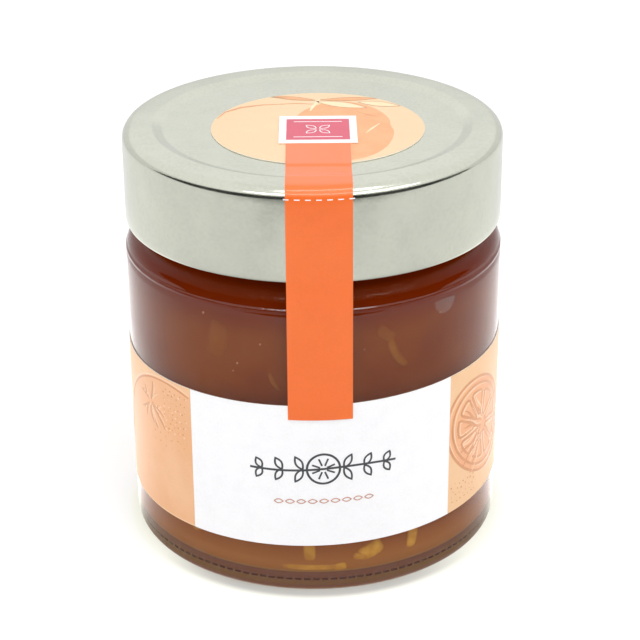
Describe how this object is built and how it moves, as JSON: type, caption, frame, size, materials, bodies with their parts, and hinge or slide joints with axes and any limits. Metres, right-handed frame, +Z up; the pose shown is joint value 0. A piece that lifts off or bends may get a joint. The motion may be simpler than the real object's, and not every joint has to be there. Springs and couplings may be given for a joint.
{
  "type": "marmalade jar",
  "caption": "Straight-sided clear glass jar of orange marmalade with a deep silver twist lid, wrap-round paper label, round lid sticker and paper seal strip.",
  "frame": {"origin": "centre of the jar's base, on the surface it stands on", "axes": "+Z up along the jar's axis, -Y towards the front where the seal strip runs down, +X to the right seen from the front"},
  "size_m": [0.074, 0.0741, 0.0836],
  "materials": {
    "clear_glass": "smooth, clear",
    "marmalade": "dark amber gel with peel",
    "tinplate": "satin tinplate",
    "label_paper": "satin coated paper, white and peach",
    "sticker_paper": "satin coated paper, peach",
    "strip_paper": "satin coated paper, orange"
  },
  "bodies": {
    "root": {"glass_jar": "clear_glass", "marmalade": "marmalade", "lid": "tinplate", "label": "label_paper", "lid_sticker": "sticker_paper", "seal_strip": "strip_paper"}
  },
  "joints": []
}
